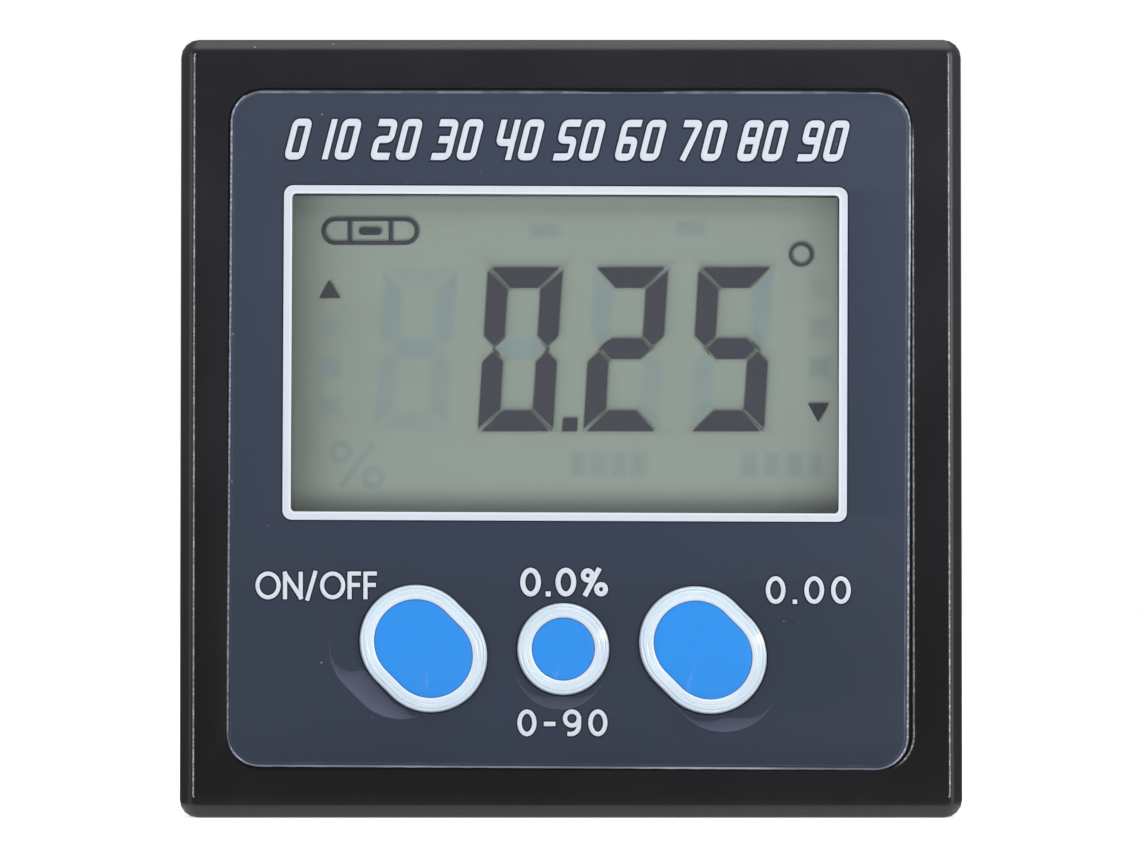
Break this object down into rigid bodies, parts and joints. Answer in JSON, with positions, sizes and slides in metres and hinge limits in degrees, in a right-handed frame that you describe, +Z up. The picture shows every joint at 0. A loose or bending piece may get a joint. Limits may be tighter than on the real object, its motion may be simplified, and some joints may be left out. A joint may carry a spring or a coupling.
{
  "type": "digital angle gauge",
  "caption": "Pocket digital angle gauge: square black case, blue-grey face film, liquid-crystal display, push keys, magnetic base and a battery door at the back.",
  "frame": {"origin": "under the middle of the case, on the surface that its base stands on", "axes": "+Z up, the display faces -Y, +X to the right of someone who reads it"},
  "size_m": [0.055, 0.0283, 0.0548],
  "materials": {
    "case_black": "fine spark-eroded texture",
    "cover_black": "fine spark-eroded texture",
    "face_film": "satin, printed from behind",
    "window_clear": "polished",
    "display_glass": "polished",
    "display_reflector": "satin foil",
    "key_white": "glossy",
    "key_blue": "satin",
    "moulded_black": "moulded",
    "connector_rubber": "matte",
    "board_green": "solder mask",
    "chip_black": "moulded epoxy",
    "steel": "zinc plated",
    "nickel": "nickel plated",
    "can_aluminium": "drawn can",
    "cell_wrap": "shrink sleeve",
    "lead_red": "insulated wire",
    "lead_black": "insulated wire"
  },
  "bodies": {
    "gauge": {"housing": "case_black", "rear_cover": "cover_black", "face_overlay": "face_film", "display_lens": "window_clear", "display_front_glass": "display_glass", "display_rear_glass": "display_glass", "display_reflector": "display_reflector", "display_holder": "moulded_black", "display_connector": "connector_rubber", "circuit_board": "board_green", "controller_chip": "chip_black", "tilt_sensor": "chip_black", "clock_crystal": "steel", "power_capacitor": "can_aluminium", "switch_left": "moulded_black", "switch_middle": "moulded_black", "switch_right": "moulded_black", "base_magnet_left": "nickel", "base_magnet_middle": "nickel", "base_magnet_right": "nickel", "cell_upper": "cell_wrap", "cell_lower": "cell_wrap", "contact_bridge": "nickel", "contact_plate_upper": "nickel", "contact_plate_lower": "nickel", "contact_spring_upper": "nickel", "contact_spring_lower": "nickel", "lead_positive": "lead_red", "lead_negative": "lead_black", "cover_screw_1": "steel", "cover_screw_2": "steel", "cover_screw_3": "steel", "cover_screw_4": "steel", "board_screw_1": "steel", "board_screw_2": "steel", "board_screw_3": "steel", "board_screw_4": "steel"},
    "left_key": {"key_left": "key_white", "key_cap_left": "key_blue", "plunger_left": "steel"},
    "middle_key": {"key_middle": "key_white", "key_cap_middle": "key_blue", "plunger_middle": "steel"},
    "right_key": {"key_right": "key_white", "key_cap_right": "key_blue", "plunger_right": "steel"},
    "door": {"battery_door": "cover_black"}
  },
  "joints": [
    {"name": "left_key_press", "type": "slide", "parent": "gauge", "child": "left_key", "axis": [0, 1, 0], "range_m": [0, 0.0003], "stiffness_N_per_m": 300, "springref_m": -0.0003},
    {"name": "middle_key_press", "type": "slide", "parent": "gauge", "child": "middle_key", "axis": [0, 1, 0], "range_m": [0, 0.0003], "stiffness_N_per_m": 300, "springref_m": -0.0003},
    {"name": "right_key_press", "type": "slide", "parent": "gauge", "child": "right_key", "axis": [0, 1, 0], "range_m": [0, 0.0003], "stiffness_N_per_m": 300, "springref_m": -0.0003},
    {"name": "door_tip", "type": "hinge", "parent": "gauge", "child": "door", "pos_m": [0, 0.0138, 0.0157], "axis": [-1, 0, 0], "range_deg": [0, 80]}
  ]
}
